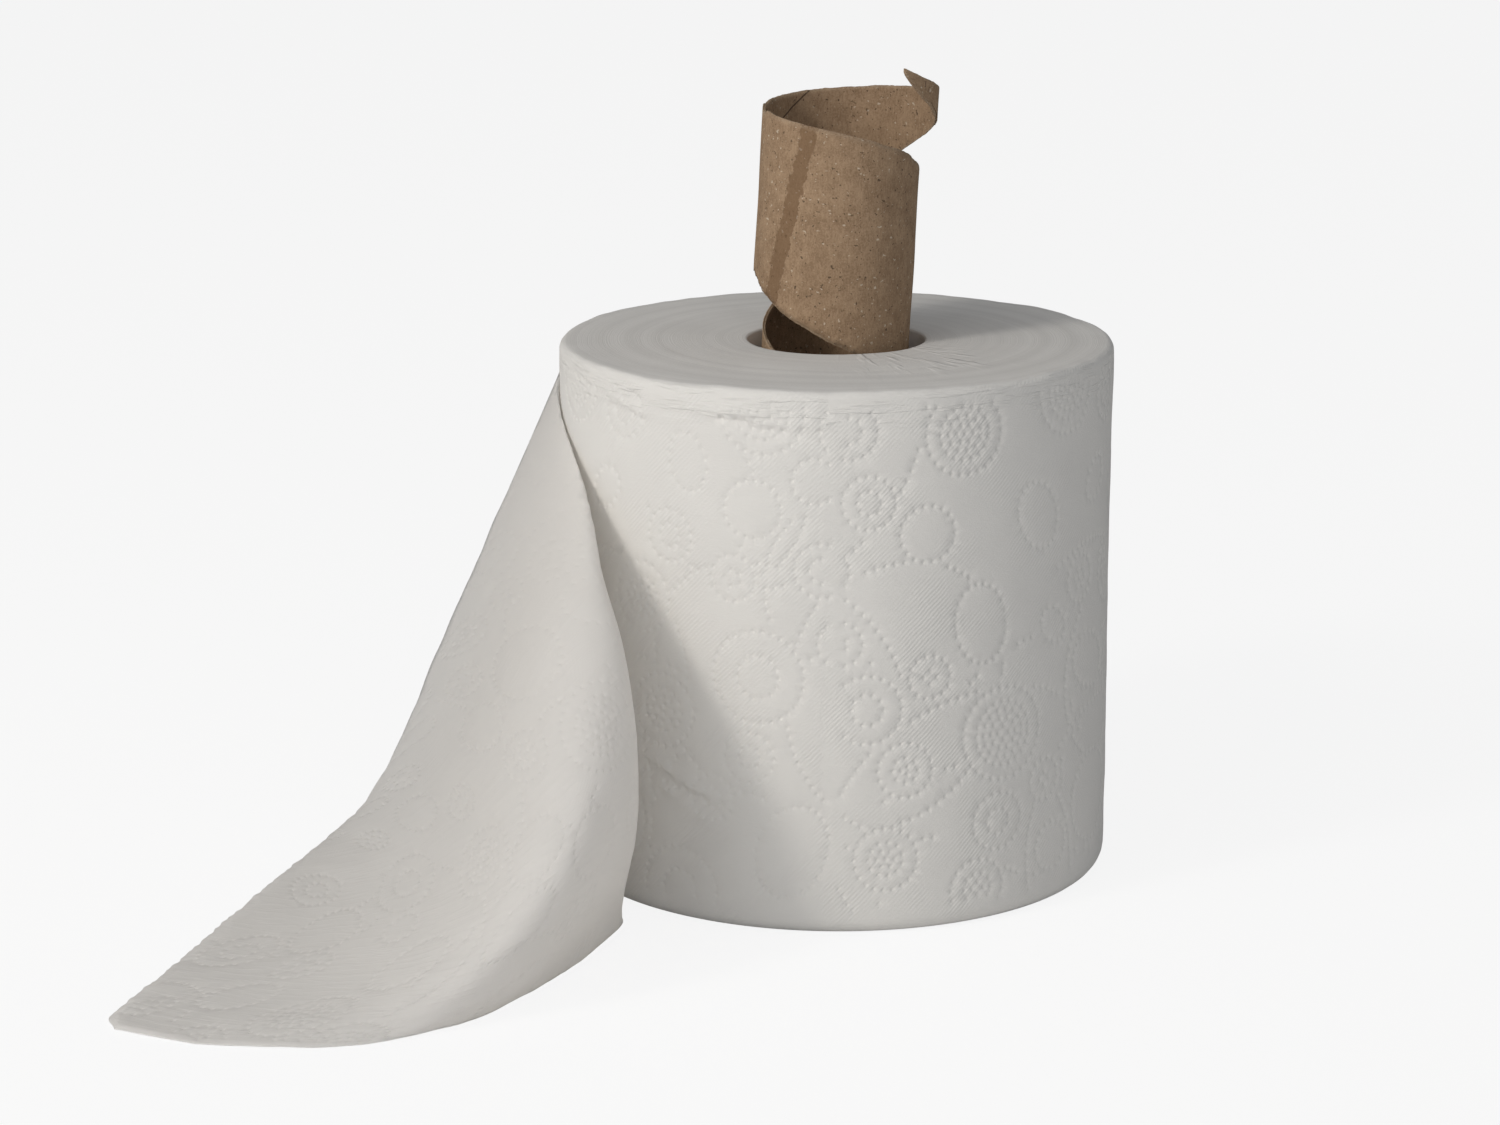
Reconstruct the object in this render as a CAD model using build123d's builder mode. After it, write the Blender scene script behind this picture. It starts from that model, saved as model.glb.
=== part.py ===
"""Centrefeed paper roll standing on its end.

The paper web is wound into a roll, and its loose end leaves the roll at the left, rounds its front in
a hanging bend and falls outward to the floor. The spiral cardboard core is pulled part way up out of
the bore and opened along its seam.
Millimetres. The origin is on the roll's axis at the floor, +Z up, -Y towards the viewer, and
angles round the roll run from the front (-Y) towards the left (-X).
"""
import os
from math import cos, pi, radians, sin, tan

from build123d import *

# Roll
ROLL_RADIUS = 95.0
ROLL_HEIGHT = 184.0
BORE_RADIUS = 30.5
BASE_ROUNDING = 6.0
RIM_ROUNDING = 2.5
BORE_CHAMFER = 1.0
TURN_BANDS = 9
TURN_RELIEF = 0.5

# Loose end of the paper
PAPER_THICKNESS = 0.6
PAPER_CLEARANCE = 0.4
FLOOR_CLEARANCE = 0.7
PEEL_ANGLE_BASE = 97.0
PEEL_ANGLE_TOP = 125.0
WRAP_EASE = 0.85
BEND_ANGLE_BASE = 39.0
BEND_ANGLE_MIDDLE = -89.0
BEND_ANGLE_TOP = 56.0
BEND_ANGLE_POWER = 6
BEND_GAP_BASE = 16.0
BEND_GAP_MIDDLE = 270.0
BEND_GAP_TOP = 0.8
BULGE_POWER = 1.8
BEND_DROP = 0.06
LANDING_OUT = 74.0
LANDING_BACK = 52.0
TIP_OUT = 133.0
TIP_FORWARD = 188.0
LEAVING_OUT = 80.0
LEAVING_FORWARD = 260.0
ARRIVING_OUT = 300.0
ARRIVING_BACK = 140.0
WEB_ROWS = 17
WRAP_STEPS = 14
FALL_STEPS = 18

# Cardboard core
CORE_WALL = 1.0
CORE_CLEARANCE = 0.3
CORE_TIGHTENING = 2.9
TIGHTENING_END = 1.5
TIGHTENING_TURNS = 0.6
CORE_RISE = 81.0
CORE_FOOT = 50.0
CORE_LEAN = 3.0
CORE_LEAN_DEPTH = 30.0
CORE_SHIFT = 3.9
SHIFT_TURNS = 0.45
SEAM_PITCH = 75.0
TORN_FALL = 35.5
TEAR_POWER = 0.8
SEAM_OPENING = 31.0
SEAM_CLOSED_GAP = 1.2
SEAM_CLOSING = 0.7
SEAM_PINCH = 13.5
PINCH_TURNS = 0.4
TOP_LEVEL_TURN = 0.415
TOP_SLOPE = 11.5
TOP_SWING = 82.0
POINT_TURN = -0.12
POINT_LIFT = 12.5
POINT_RISE = 7.5
POINT_FLARE = 5.0
POINT_FLARE_ANGLE = 45.0
CORE_OVERRUN = 0.85
CORE_STEP_ANGLE = 12.0
CORE_ROWS = 5

# Accuracy of the modelled sheets
PAPER_TOLERANCE = 0.3
BOARD_TOLERANCE = 0.1

CORE_TOP = ROLL_HEIGHT + CORE_RISE
WOUND_LENGTH = CORE_TOP + POINT_LIFT - SEAM_PITCH - TORN_FALL - CORE_FOOT
CORE_TURNS = 1 + CORE_OVERRUN + WOUND_LENGTH / SEAM_PITCH


def blend(start, end, share):
    """The value a share of the way from start to end."""
    return start + (end - start) * share


def round_the_roll(angle, radius, height):
    """A point at an angle from the front, a radius from the axis and a height."""
    return Vector(-radius * sin(radians(angle)), -radius * cos(radians(angle)), height)


def ease(start, leaving, end, arriving, share):
    """A point on the cubic that leaves start and reaches end with the given directions."""
    left = 1 - share
    return (
        start * (left * left * (1 + 2 * share))
        + leaving * (share * left * left)
        + end * (share * share * (1 + 2 * left))
        - arriving * (share * share * left)
    )


def grid_normal(grid, row, column):
    """Unit normal of a grid of points at one of its points."""
    across = grid[min(row + 1, len(grid) - 1)][column] - grid[max(row - 1, 0)][column]
    points = grid[row]
    along = points[min(column + 1, len(points) - 1)] - points[max(column - 1, 0)]
    return across.cross(along).normalized()


def sheet_solid(grid, thickness, tolerance):
    """A sheet of even thickness, half of it on each side of a grid of points, within a tolerance."""
    skins = []
    for reach in (thickness / 2, -thickness / 2):
        skin = [
            [point + grid_normal(grid, row, column) * reach for column, point in enumerate(points)]
            for row, points in enumerate(grid)
        ]
        skins.append(Face.make_surface_from_array_of_points(skin, tol=tolerance, min_deg=3))
    outer, inner = skins
    rims = [
        Face.make_surface_from_curves(edge, inner.edges().sort_by_distance(edge @ 0.5)[0])
        for edge in outer.edges()
    ]
    return Solid(Shell([outer, inner, *rims]))


def loose_strand(level):
    """One line along the web at a level from 0 (bottom edge) to 1 (top edge)."""
    resting = ROLL_RADIUS + PAPER_CLEARANCE + PAPER_THICKNESS / 2
    lowest = FLOOR_CLEARANCE + PAPER_THICKNESS / 2
    height = max(lowest, (ROLL_HEIGHT - RIM_ROUNDING) * level)
    bend_height = max(lowest, height * (1 - BEND_DROP * level))
    bulge = level * (1 - level) ** BULGE_POWER
    bend_angle = BEND_ANGLE_BASE + BEND_ANGLE_MIDDLE * bulge + BEND_ANGLE_TOP * level**BEND_ANGLE_POWER
    bend_gap = blend(BEND_GAP_BASE, BEND_GAP_TOP, level) + BEND_GAP_MIDDLE * bulge
    peel_angle = blend(PEEL_ANGLE_BASE, PEEL_ANGLE_TOP, level)
    points = []
    for step in range(WRAP_STEPS):
        share = step / WRAP_STEPS
        angle = blend(peel_angle, bend_angle, share + WRAP_EASE * share * (1 - share))
        radius = resting + bend_gap * share**2
        points.append(round_the_roll(angle, radius, blend(height, bend_height, share)))
    bend = round_the_roll(bend_angle, resting + bend_gap, bend_height)
    landing = Vector(-ROLL_RADIUS - LANDING_OUT, LANDING_BACK, lowest)
    tip = Vector(-ROLL_RADIUS - TIP_OUT, -TIP_FORWARD, lowest)
    end = blend(tip, landing, level)
    fall = end - bend
    leaving = blend(Vector(-LEAVING_OUT, -LEAVING_FORWARD, 0), fall, level**2)
    arriving = blend(Vector(-ARRIVING_OUT, ARRIVING_BACK, 0), fall, level**2)
    for step in range(FALL_STEPS + 1):
        points.append(ease(bend, leaving, end, arriving, step / FALL_STEPS))
    return points


def seam_height(turn):
    """Height of the strip's lower, seam edge after a number of turns, steepest at its point."""
    torn = min(1, (turn - POINT_TURN) / (1 - POINT_TURN)) ** TEAR_POWER
    wound = max(0, turn - 1)
    return CORE_TOP + POINT_LIFT - (SEAM_PITCH + TORN_FALL) * torn - SEAM_PITCH * wound


def strip_edges(turn):
    """Heights of the strip's lower and upper edges after a number of turns."""
    lower = seam_height(turn)
    if turn <= 1:
        swing = turn - TOP_LEVEL_TURN
        upper = CORE_TOP - TOP_SWING * max(0, swing) ** 3 - TOP_SLOPE * swing
        upper += POINT_RISE * max(0, turn / POINT_TURN) ** 2
    else:
        opening = max(SEAM_CLOSED_GAP, SEAM_OPENING * (1 - SEAM_CLOSING * (turn - 1)))
        opening -= SEAM_PINCH * max(0, 1 - (turn - 1) / PINCH_TURNS) ** 2
        upper = seam_height(turn - 1) - opening
    return lower, upper


def eased(share):
    """A share held between 0 and 1 that starts and ends gently."""
    held = min(1, max(0, share))
    return held * held * (3 - 2 * held)


def core_point(turn, height):
    """A point of the strip's middle surface after a number of turns, at a height."""
    fitted = BORE_RADIUS - CORE_CLEARANCE - CORE_WALL / 2
    radius = fitted - CORE_TIGHTENING * (1 - eased((turn - TIGHTENING_END) / TIGHTENING_TURNS))
    radius += POINT_FLARE * max(0, 1 - (turn * 360 / POINT_FLARE_ANGLE) ** 2) ** 2
    lean = max(0, height - ROLL_HEIGHT + CORE_LEAN_DEPTH) * tan(radians(CORE_LEAN))
    shift = lean - CORE_SHIFT * (1 - eased((turn - 1) / SHIFT_TURNS))
    return Vector(radius * cos(2 * pi * turn) + shift, radius * sin(2 * pi * turn), height)


def core_column(turn):
    """Points from the strip's lower edge to its upper edge after a number of turns."""
    lower, upper = strip_edges(turn)
    return [core_point(turn, blend(lower, upper, row / (CORE_ROWS - 1))) for row in range(CORE_ROWS)]


os.makedirs("parts", exist_ok=True)

# Wound turns, in bands that stand a little proud of each other at the top end
with BuildPart() as paper_roll:
    with BuildSketch(Plane.XZ) as section:
        with BuildLine():
            band = (ROLL_RADIUS - BORE_RADIUS) / TURN_BANDS
            turn_edges = []
            for number in range(TURN_BANDS):
                level = ROLL_HEIGHT - TURN_RELIEF * (number % 2)
                turn_edges.append((BORE_RADIUS + band * number, level))
                turn_edges.append((BORE_RADIUS + band * (number + 1), level))
            Polyline((BORE_RADIUS, 0), *turn_edges, (ROLL_RADIUS, 0), close=True)
        make_face()
        fillet(section.vertices().group_by(Axis.Y)[0].sort_by(Axis.X)[-1], BASE_ROUNDING)
        fillet(section.vertices().group_by(Axis.Y)[-1].sort_by(Axis.X)[-1], RIM_ROUNDING)
        chamfer(section.vertices().group_by(Axis.Y)[-1].sort_by(Axis.X)[0], BORE_CHAMFER)
    revolve(axis=Axis.Z)

# Loose end of the web, from its peel line on the roll to its end on the floor
with BuildPart() as loose_end:
    strands = [loose_strand(row / (WEB_ROWS - 1)) for row in range(WEB_ROWS)]
    add(sheet_solid(strands, PAPER_THICKNESS, PAPER_TOLERANCE))

# Cardboard core: one strip wound as a helix, its seam torn open over the first turn
with BuildPart() as core:
    columns = int((CORE_TURNS - POINT_TURN) * 360 / CORE_STEP_ANGLE)
    turns = [blend(POINT_TURN, CORE_TURNS, column / columns) for column in range(columns + 1)]
    add(sheet_solid([core_column(turn) for turn in turns], CORE_WALL, BOARD_TOLERANCE))
    split(bisect_by=Plane.XY.offset(CORE_FOOT), keep=Keep.TOP)

for name, piece in (("paper_roll", paper_roll), ("loose_end", loose_end), ("core", core)):
    piece.part.label = name
    export_step(piece.part, f"parts/{name}.step")
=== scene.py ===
"""Dresses the centrefeed paper roll: embossed web, loose end on the floor and torn spiral core.

Metres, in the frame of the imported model: the origin is on the roll's axis at the floor, +Z up and -Y
towards the viewer. Angles round the roll run from the front (-Y) towards the left (-X).
"""

import logging
import math
from dataclasses import dataclass, field
from enum import Enum
from typing import Any, Callable

import bpy
import numpy as np
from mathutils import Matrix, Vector, noise
from mathutils.geometry import delaunay_2d_cdt
from mathutils.kdtree import KDTree

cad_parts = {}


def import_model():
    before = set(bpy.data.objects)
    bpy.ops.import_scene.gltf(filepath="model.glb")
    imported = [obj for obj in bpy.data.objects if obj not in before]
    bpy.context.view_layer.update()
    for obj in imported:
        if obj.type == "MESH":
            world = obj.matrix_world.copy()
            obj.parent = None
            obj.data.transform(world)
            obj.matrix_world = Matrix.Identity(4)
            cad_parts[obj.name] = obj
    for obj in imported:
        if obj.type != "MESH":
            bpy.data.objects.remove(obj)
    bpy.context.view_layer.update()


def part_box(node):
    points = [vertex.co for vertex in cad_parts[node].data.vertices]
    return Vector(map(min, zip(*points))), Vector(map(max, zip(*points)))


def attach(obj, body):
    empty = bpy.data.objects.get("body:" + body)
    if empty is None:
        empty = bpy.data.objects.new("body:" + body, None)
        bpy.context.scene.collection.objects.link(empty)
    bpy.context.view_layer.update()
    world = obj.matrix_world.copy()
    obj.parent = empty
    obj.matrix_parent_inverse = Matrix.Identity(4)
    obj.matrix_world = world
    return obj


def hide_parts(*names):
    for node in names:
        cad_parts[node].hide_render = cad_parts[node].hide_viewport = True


LOG = logging.getLogger("paper_roll")
MM = 0.001
WEB_UV = "web"
TURN_EDGE = "turn_edge"
GLUE = "glue"
TORN = "torn"
SEAM = "seam"
FULL_TURN = 2 * math.pi

Colour = tuple[float, float, float, float]
Values = float | np.ndarray


def smooth_share(value: Values, low: float, high: float) -> np.ndarray:
    """Eases a value from 0 at low to 1 at high.

    Args:
        value: One value or an array of them.
        low: Where the share starts to rise.
        high: Where it reaches 1.

    Returns:
        The smooth share for each value.
    """
    share = np.clip((np.asarray(value, float) - low) / (high - low), 0, 1)
    return share * share * (3 - 2 * share)


def between(start: Values, end: Values, share: Values) -> Values:
    """The value a share of the way from start to end."""
    return start + (end - start) * share


def on_line(values: np.ndarray) -> np.ndarray:
    """Points along the X axis, one for each value."""
    return np.stack([values, values * 0, values * 0], 1)


def soft_noise(points: np.ndarray, grain: float, seed: float = 0.0) -> np.ndarray:
    """Smooth noise at a list of points.

    Args:
        points: Points in metres, one row each.
        grain: Size of the noise's lumps in metres.
        seed: Shifts the noise to another place.

    Returns:
        One value from about -1 to 1 for each point.
    """
    places = np.asarray(points, float) / grain + seed
    return np.array([noise.noise(Vector(place)) for place in places])


def nearest_gaps(points: np.ndarray, dots: np.ndarray) -> np.ndarray:
    """Measures how far flat points lie from the nearest dot.

    Args:
        points: Flat places, one row each.
        dots: The dots' places.

    Returns:
        One distance for each point.
    """
    tree = KDTree(len(dots))
    for number, dot in enumerate(dots):
        tree.insert((dot[0], dot[1], 0), number)
    tree.balance()
    return np.array([tree.find((point[0], point[1], 0))[2] for point in points])


def within(points: np.ndarray, length: Values, height: float, margin: float) -> np.ndarray:
    """Tells which flat points lie inside a stretch of web.

    Args:
        points: Flat places, one row each.
        length: Where the web ends, for all points or for each.
        height: The web's width.
        margin: How far from the outline a point has to be.

    Returns:
        True for each point inside.
    """
    wide = (points[:, 0] > margin) & (points[:, 0] < length - margin)
    return wide & (points[:, 1] > margin) & (points[:, 1] < height - margin)


def scene_object(name: str, data: bpy.types.ID) -> bpy.types.Object:
    """Makes an object at the origin and links it to the scene.

    Args:
        name: The object's name.
        data: Its mesh, light or camera.

    Returns:
        The new object.
    """
    piece = bpy.data.objects.new(name, data)
    bpy.context.scene.collection.objects.link(piece)
    return piece


def mesh_object(name: str, points: np.ndarray, faces: list) -> bpy.types.Object:
    """Makes a smooth-shaded mesh object.

    Args:
        name: The object's name.
        points: Vertex places in metres.
        faces: Vertex numbers of each face.

    Returns:
        The new object.
    """
    mesh = bpy.data.meshes.new(name)
    mesh.from_pydata([tuple(point) for point in points], [], [tuple(face) for face in faces])
    mesh.shade_smooth()
    return scene_object(name, mesh)


def set_vertex_values(mesh: bpy.types.Mesh, name: str, values: np.ndarray) -> None:
    """Stores one number per vertex under an attribute's name."""
    attribute = mesh.attributes.new(name, "FLOAT", "POINT")
    attribute.data.foreach_set("value", np.asarray(values, np.float32))


def set_web_uv(mesh: bpy.types.Mesh, flat: np.ndarray, period: float = 0.0) -> None:
    """Stores flat web coordinates, in metres, as the mesh's UV map.

    Args:
        mesh: The mesh that takes the map.
        flat: Flat coordinates of each vertex.
        period: Length round the web after which it meets itself, or 0 for an open sheet.
    """
    corners = np.zeros(len(mesh.loops), np.int32)
    mesh.loops.foreach_get("vertex_index", corners)
    uv = np.array(flat, float)[corners]
    if period:
        for face in mesh.polygons:
            own = slice(face.loop_start, face.loop_start + face.loop_total)
            along = uv[own, 0]
            uv[own, 0] = np.where(along < along.max() - period / 2, along + period, along)
    layer = mesh.uv_layers.new(name=WEB_UV)
    layer.data.foreach_set("uv", uv.astype(np.float32).ravel())


class Signal:
    """A node's output that takes part in Python expressions, which add the Math nodes they need."""

    def __init__(self, nodes: "Nodes", socket: bpy.types.NodeSocket) -> None:
        """Wraps one output socket of a tree's nodes."""
        self.nodes = nodes
        self.socket = socket

    def output(self, name: str | int) -> "Signal":
        """Another output of the same node."""
        return Signal(self.nodes, self.socket.node.outputs[name])

    def math(self, operation: str, *values: "Signal | float") -> "Signal":
        """Result of one Math node, with the values that go into its sockets in order."""
        return self.nodes.add("ShaderNodeMath", {"operation": operation}, dict(enumerate(values)))

    def __add__(self, other: "Signal | float") -> "Signal":
        """Sum of two signals."""
        return self.math("ADD", self, other)

    def __sub__(self, other: "Signal | float") -> "Signal":
        """Difference of two signals."""
        return self.math("SUBTRACT", self, other)

    def __rsub__(self, other: float) -> "Signal":
        """Difference with the signal on the right."""
        return self.math("SUBTRACT", other, self)

    def __mul__(self, other: "Signal | float") -> "Signal":
        """Product of two signals."""
        return self.math("MULTIPLY", self, other)

    def __truediv__(self, other: "Signal | float") -> "Signal":
        """Quotient of two signals."""
        return self.math("DIVIDE", self, other)

    def __rtruediv__(self, other: float) -> "Signal":
        """Quotient with the signal below."""
        return self.math("DIVIDE", other, self)

    __radd__ = __add__
    __rmul__ = __mul__

    def wave(self) -> "Signal":
        """Sine of the signal, from 0 to 1."""
        return self.math("SINE", self) * 0.5 + 0.5

    def step(self, low: float, high: float) -> "Signal":
        """Smooth step from 0 at low to 1 at high, which lies below low for a step down."""
        bounds = {"Value": self, "From Min": low, "From Max": high}
        return self.nodes.add("ShaderNodeMapRange", {"interpolation_type": "SMOOTHSTEP"}, bounds)


class Nodes:
    """The nodes of one tree, of a material, the world or a modifier."""

    def __init__(self, tree: bpy.types.NodeTree) -> None:
        """Takes a tree and empties it."""
        self.tree = tree
        self.tree.nodes.clear()

    def add(
        self,
        kind: str,
        settings: dict[str, Any] | None = None,
        sockets: dict[str | int, Any] | None = None,
        output: str | int = 0,
    ) -> Signal:
        """Adds a node, sets it up and links it.

        Args:
            kind: The node's type.
            settings: The node's properties, set first.
            sockets: Values or signals for its input sockets, by name or number.
            output: The output socket that is wanted.

        Returns:
            That output as a signal, or the tree's end for a node with no output.
        """
        node = self.tree.nodes.new(kind)
        for name, value in (settings or {}).items():
            setattr(node, name, value)
        for key, value in (sockets or {}).items():
            if isinstance(value, Signal):
                self.tree.links.new(value.socket, node.inputs[key])
            else:
                node.inputs[key].default_value = value
        return Signal(self, node.outputs[output] if node.outputs else node.inputs[0])

    def shader_mix(self, share: Signal | float, first: Signal, second: Signal) -> Signal:
        """Shader a share of the way from a first one to a second."""
        return self.add("ShaderNodeMixShader", {}, {0: share, 1: first, 2: second})


class FinishNodes(Nodes):
    """The node tree of one material."""

    MIX_FACTOR = 0
    MIX_FIRST = 6
    MIX_SECOND = 7
    MIX_RESULT = 2
    PASSED = (0.985, 0.97, 0.95, 1)

    def __init__(self, name: str) -> None:
        """Starts a material with an empty node tree.

        Args:
            name: The material's name.
        """
        self.material = bpy.data.materials.new(name)
        self.material.use_nodes = True
        super().__init__(self.material.node_tree)

    def noise(self, place: Signal, scale: float, detail: float = 2.0, rough: float = 0.5) -> Signal:
        """Noise over a place.

        Args:
            place: Coordinates in metres.
            scale: Lumps per metre.
            detail: How many finer layers there are.
            rough: How strong the finer layers are.

        Returns:
            A signal from 0 to 1.
        """
        settings = {"noise_dimensions": "3D"}
        sockets = {"Vector": place, "Scale": scale, "Detail": detail, "Roughness": rough}
        return self.add("ShaderNodeTexNoise", settings, sockets)

    def line_noise(self, value: Signal, scale: float, rough: float = 0.5) -> Signal:
        """Noise along one value, with its lumps per metre and the strength of its finer layers."""
        sockets = {"W": value, "Scale": scale, "Detail": 2.0, "Roughness": rough}
        return self.add("ShaderNodeTexNoise", {"noise_dimensions": "1D"}, sockets)

    def attribute(self, name: str) -> Signal:
        """A number that the mesh's vertices carry."""
        return self.add("ShaderNodeAttribute", {"attribute_name": name}, {}, "Fac")

    def stretched(self, place: Signal, scale: tuple[float, float, float], turn: float = 0.0) -> Signal:
        """Coordinates stretched by a scale along each axis, after a turn about Z in degrees."""
        sockets = {"Vector": place, "Rotation": (0, 0, math.radians(turn)), "Scale": scale}
        return self.add("ShaderNodeMapping", {"vector_type": "POINT"}, sockets)

    def mix(self, share: Signal, first: Colour | Signal, second: Colour | Signal) -> Signal:
        """Colour a share of the way from a first one to a second."""
        sockets = {self.MIX_FACTOR: share, self.MIX_FIRST: first, self.MIX_SECOND: second}
        return self.add("ShaderNodeMix", {"data_type": "RGBA"}, sockets, self.MIX_RESULT)

    def closed(self, shader: Signal) -> bpy.types.Material:
        """The finished material, which ends in a shader."""
        self.add("ShaderNodeOutputMaterial", {}, {"Surface": shader})
        return self.material

    def surface(
        self,
        colour: Signal,
        roughness: float,
        gloss: float,
        height: Signal,
        relief: float,
        through: float = 0.0,
    ) -> bpy.types.Material:
        """Closes the material with its surface.

        Args:
            colour: The surface's colour.
            roughness: Its roughness.
            gloss: The strength of its reflection.
            height: Its fine relief, from 0 to 1.
            relief: The distance in metres that the relief stands for.
            through: Share of the light that passes through, for a thin sheet.

        Returns:
            The finished material.
        """
        bump = self.add("ShaderNodeBump", {}, {"Strength": 1.0, "Distance": relief, "Height": height})
        sockets = {"Base Color": colour, "Roughness": roughness, "Specular IOR Level": gloss, "Normal": bump}
        shader = self.add("ShaderNodeBsdfPrincipled", {}, sockets)
        if through:
            passed = self.add("ShaderNodeBsdfTranslucent", {}, {"Color": self.PASSED})
            shader = self.shader_mix(through, shader, passed)
        return self.closed(shader)


@dataclass(frozen=True)
class TissueFinish:
    """Soft white tissue with a fine slanted hatch between the embossed dots."""

    white: Colour = (0.795, 0.779, 0.749, 1)
    shade: Colour = (0.733, 0.718, 0.693, 1)
    hatch_pitch: float = 1.2 * MM
    hatch_weight: float = 0.42
    hatch_sway: float = 1.2 * MM
    sway_grain: float = 140.0
    patch_grain: float = 45.0
    crepe_grain: tuple[float, float, float] = (520.0, 1300.0, 1.0)
    crepe_turn: float = 20.0
    crepe_weight: float = 0.6
    fibre_grain: float = 2600.0
    fibre_weight: float = 0.35
    fold_grain: tuple[float, float, float] = (55.0, 480.0, 1.0)
    fold_turn: float = 2.0
    folds: float = 1.5
    folds_from: float = 170 * MM
    folds_fade: float = 6 * MM
    cloud_grain: float = 26.0
    cloud_weight: float = 0.45
    fibre_tint: float = 0.25
    relief: float = 0.16 * MM
    roughness: float = 0.95
    gloss: float = 0.15
    through: float = 0.0

    def material(self, name: str) -> bpy.types.Material:
        """Builds the material.

        Args:
            name: The material's name.

        Returns:
            The material, which reads the web's flat coordinates.
        """
        nodes = FinishNodes(name)
        web = nodes.add("ShaderNodeUVMap", {"uv_map": WEB_UV})
        along = nodes.add("ShaderNodeSeparateXYZ", {}, {0: web})
        across = along.output("Y")
        slant = along + across + nodes.noise(web, self.sway_grain) * self.hatch_sway
        hatch = (slant * (FULL_TURN / self.hatch_pitch / math.sqrt(2))).wave()
        patches = nodes.noise(web, self.patch_grain, 1.0).step(0.36, 0.66)
        crepe = nodes.noise(nodes.stretched(web, self.crepe_grain, self.crepe_turn), 1.0, 3.0, 0.6)
        fibre = nodes.noise(web, self.fibre_grain, 2.0, 0.7)
        folds = nodes.noise(nodes.stretched(web, self.fold_grain, self.fold_turn), 1.0, 2.0, 0.55)
        folded = across.step(self.folds_from, self.folds_from + self.folds_fade)
        height = hatch * patches * self.hatch_weight + crepe * self.crepe_weight
        height = height + fibre * self.fibre_weight + folds.step(0.46, 0.66) * folded * self.folds
        cloud = nodes.noise(web, self.cloud_grain, 3.0, 0.55).step(0.3, 0.75)
        tone = cloud * self.cloud_weight + fibre.step(0.35, 0.8) * self.fibre_tint
        colour = nodes.mix(tone, self.white, self.shade)
        return nodes.surface(colour, self.roughness, self.gloss, height, self.relief, self.through)


@dataclass(frozen=True)
class TurnEdgeFinish:
    """The ends of the roll, where the edges of the wound turns lie side by side."""

    white: Colour = (0.79, 0.775, 0.75, 1)
    shade: Colour = (0.7, 0.685, 0.66, 1)
    turn_grain: float = 2100.0
    turn_drift: float = 1.8 * MM
    drift_grain: float = 45.0
    broad_grain: float = 190.0
    pressed_grain: float = 700.0
    wrinkles: float = 3.0
    wrinkles_around: float = 9.0
    wrinkles_along: float = 40.0
    wrinkled_from: tuple[float, float] = (-0.1, 0.3)
    wrinkled_to: tuple[float, float] = (1.35, 0.9)
    wrinkled_reach: tuple[float, float] = (88 * MM, 50 * MM)
    relief: float = 0.12 * MM
    roughness: float = 0.97
    gloss: float = 0.1

    def material(self, name: str) -> bpy.types.Material:
        """Builds the material.

        Args:
            name: The material's name.

        Returns:
            The material, ringed about the roll's axis and wrinkled near the bore at the front right.
        """
        nodes = FinishNodes(name)
        place = nodes.add("ShaderNodeTexCoord", {}, {}, "Object")
        flat = nodes.add("ShaderNodeVectorMath", {"operation": "MULTIPLY"}, {0: place, 1: (1, 1, 0)})
        reach = nodes.add("ShaderNodeVectorMath", {"operation": "LENGTH"}, {0: flat}, "Value")
        drift = nodes.noise(place, self.drift_grain)
        rings = nodes.line_noise(reach + drift * self.turn_drift, self.turn_grain, 0.6)
        broad = nodes.line_noise(reach, self.broad_grain)
        pressed = nodes.noise(place, self.pressed_grain, 3.0, 0.65)
        tone = rings * 0.4 + broad * 0.35 + drift * 0.25
        colour = nodes.mix(tone.step(0.3, 0.72), self.white, self.shade)
        right = nodes.add("ShaderNodeSeparateXYZ", {}, {0: place})
        around = right.math("ARCTAN2", right, 0.0 - right.output("Y"))
        spread = {0: around * self.wrinkles_around, 1: reach * self.wrinkles_along}
        wrinkle = nodes.noise(nodes.add("ShaderNodeCombineXYZ", {}, spread), 1.0, 2.0, 0.55).step(0.5, 0.7)
        where = around.step(*self.wrinkled_from) * around.step(*self.wrinkled_to)
        where = where * reach.step(*self.wrinkled_reach)
        height = rings * 0.7 + pressed * 0.5 + wrinkle * where * self.wrinkles
        return nodes.surface(colour, self.roughness, self.gloss, height, self.relief)


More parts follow.
